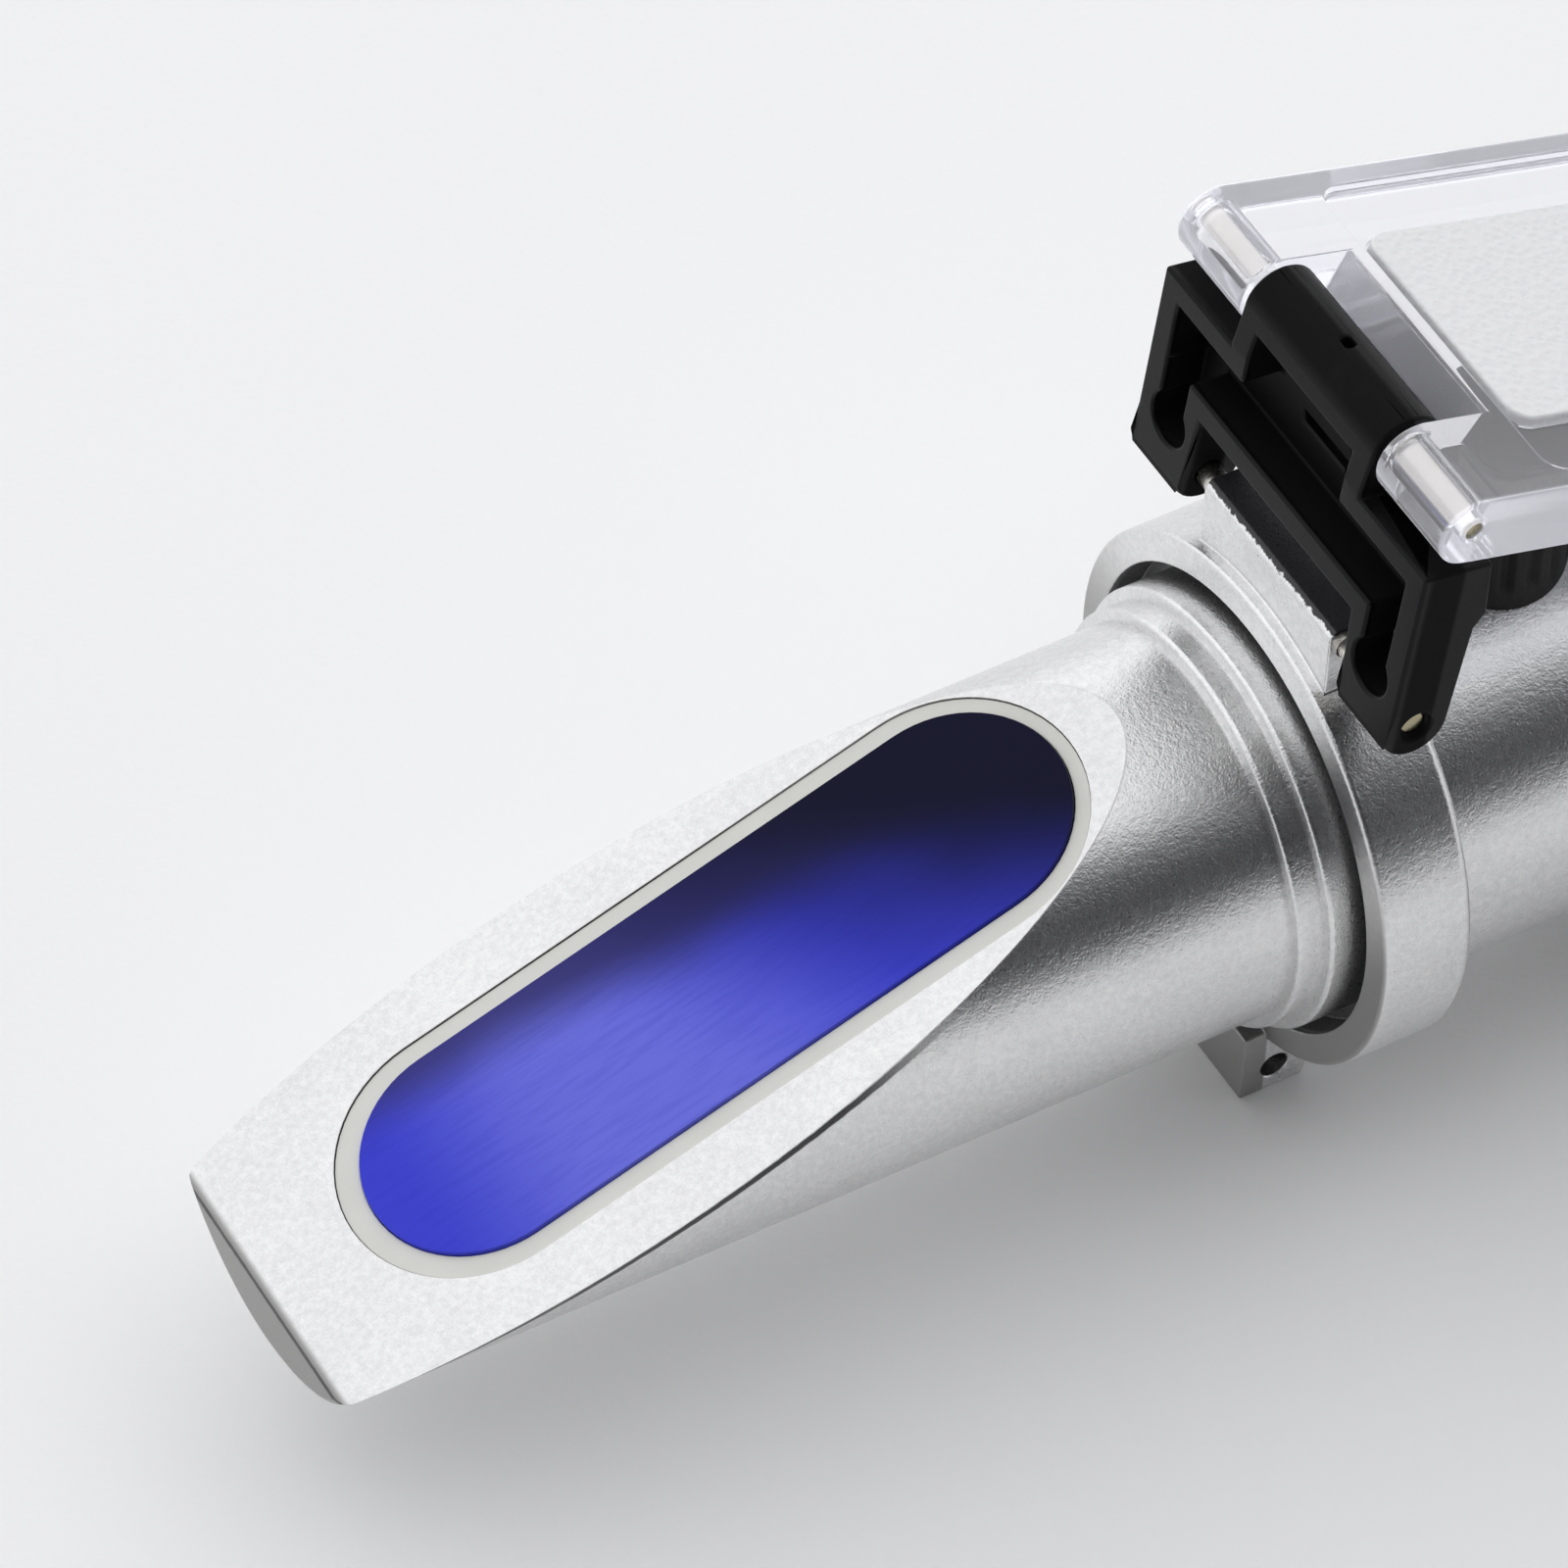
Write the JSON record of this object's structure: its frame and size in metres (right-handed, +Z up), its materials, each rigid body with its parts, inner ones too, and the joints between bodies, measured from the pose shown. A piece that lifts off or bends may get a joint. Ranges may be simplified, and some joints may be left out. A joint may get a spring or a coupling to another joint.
{
  "type": "hand-held salinity refractometer",
  "caption": "Hand-held optical refractometer: slanted prism nose with a flip-up clear cover plate on a two-pin bracket, rubber grip, helical focusing eyepiece and a rubber eyecup.",
  "frame": {"origin": "centre of the footprint, on the table that the strap lug and the eyecup's rim stand on", "axes": "+X along the barrel from the nose tip to the eye, +Z up out of the prism face's side, +Y across the barrel"},
  "size_m": [0.168, 0.0352, 0.0487],
  "materials": {
    "satin_metal": "satin silver, fine blasted grain",
    "black_paint": "satin black paint over a die casting",
    "pin_steel": "bright ground steel",
    "prism_glass": "polished glass that looks deep blue",
    "pale_gasket": "pale sealing ring, matt",
    "clear_acrylic": "clear polished acrylic",
    "frosted_plastic": "frosted, fine leather-like grain",
    "bare_brass": "turned brass",
    "black_rubber": "matt black rubber",
    "black_anodised": "black anodised, matt",
    "pale_plastic": "low-friction plastic",
    "lens_glass": "polished optical glass"
  },
  "bodies": {
    "barrel": {"prism_holder": "satin_metal", "measuring_prism": "prism_glass", "prism_gasket": "pale_gasket", "front_collar": "satin_metal", "main_tube": "satin_metal", "bracket_pin": "pin_steel", "screw_bush": "bare_brass", "light_baffle": "black_anodised", "reticle_holder": "black_anodised", "reticle_disc": "lens_glass", "grip_sleeve": "black_rubber", "trim_ring": "satin_metal", "eyepiece_socket": "black_anodised", "socket_screws": "pin_steel"},
    "bracket": {"hinge_bracket": "black_paint", "plate_pin": "pin_steel"},
    "cover": {"daylight_plate": "clear_acrylic", "diffuser_pad": "frosted_plastic"},
    "carriage": {"lens_carriage": "black_anodised", "temperature_strip": "bare_brass", "strip_screws": "pin_steel", "objective_ring": "black_anodised", "objective_lens": "lens_glass"},
    "screw": {"calibration_screw": "bare_brass"},
    "cap": {"screw_cap": "black_rubber"},
    "glide": {"glide_ring": "pale_plastic"},
    "eyepiece": {"eyepiece_body": "black_anodised", "field_lens": "lens_glass", "lens_spacer": "black_anodised", "eye_lens": "lens_glass", "ocular_ring": "black_anodised", "eyecup": "black_rubber"}
  },
  "joints": [
    {"name": "bracket_hinge", "type": "hinge", "parent": "barrel", "child": "bracket", "pos_m": [-0.027, 0, 0.0337], "axis": [0, -1, 0], "range_deg": [0, 117.12]},
    {"name": "plate_hinge", "type": "hinge", "parent": "bracket", "child": "cover", "pos_m": [-0.02496, 0, 0.04666], "axis": [0, -1, 0], "range_deg": [0, 99.38]},
    {"name": "screw_turn", "type": "hinge", "parent": "barrel", "child": "screw", "pos_m": [-0.015, 0, 0.031], "axis": [0, 0, 1], "range_deg": [-324, 324]},
    {"name": "carriage_slide", "type": "slide", "parent": "barrel", "child": "carriage", "axis": [0, 0, 1], "range_m": [-0.00045, 0.00045]},
    {"name": "cap_pull", "type": "slide", "parent": "barrel", "child": "cap", "axis": [0, 0, 1], "range_m": [0, 0.0034]},
    {"name": "focus_slide", "type": "slide", "parent": "barrel", "child": "glide", "axis": [1, 0, 0], "range_m": [-0.0015, 0.0015]},
    {"name": "eyepiece_turn", "type": "hinge", "parent": "glide", "child": "eyepiece", "pos_m": [0.05, 0, 0.0176], "axis": [1, 0, 0], "range_deg": [-270, 270]}
  ],
  "couplings": [
    {"joint": "screw_turn", "follows": "carriage_slide", "rad_per_m": 12566},
    {"joint": "focus_slide", "follows": "eyepiece_turn", "m_per_rad": 0.00031831}
  ]
}
